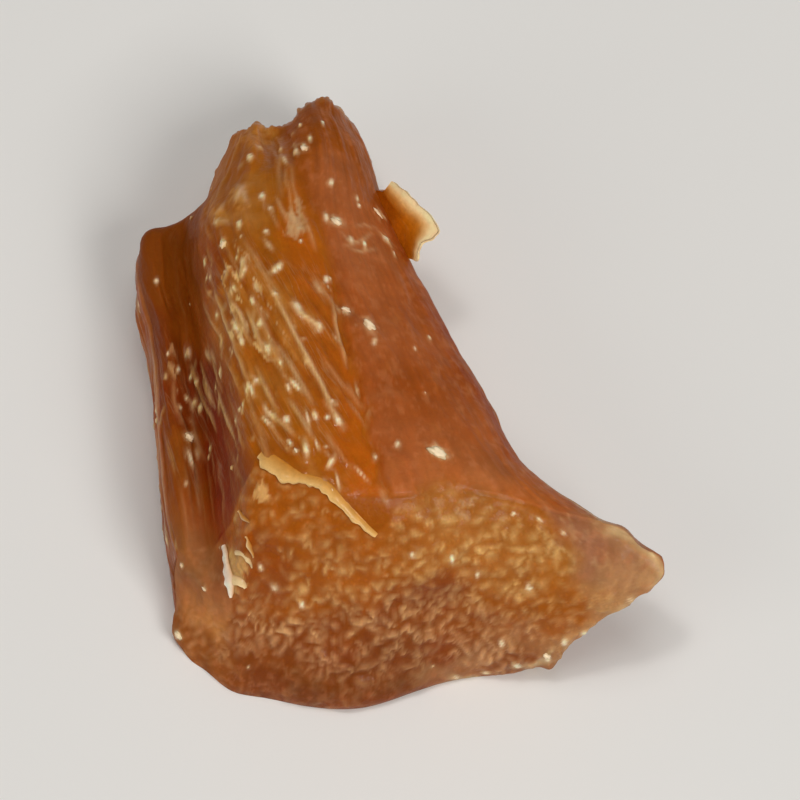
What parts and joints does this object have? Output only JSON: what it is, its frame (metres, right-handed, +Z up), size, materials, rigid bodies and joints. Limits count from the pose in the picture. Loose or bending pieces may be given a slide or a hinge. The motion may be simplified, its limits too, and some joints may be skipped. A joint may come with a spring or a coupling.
{
  "type": "dried ginger piece",
  "caption": "Chunk of dried ginger rhizome, cut across the fibres at one end and torn at the other, lying on a flat cut underside.",
  "frame": {"origin": "on the flat underside, under the middle of the piece's bounding box", "axes": "+Z up from the flat underside, +Y along the fibres from the knife-cut end to the torn end, +X to the right towards the thin lip, seen from the cut end"},
  "size_m": [0.0248, 0.0308, 0.011],
  "materials": {
    "dried_flesh": "satin"
  },
  "bodies": {
    "root": {"ginger_piece": "dried_flesh"}
  },
  "joints": []
}
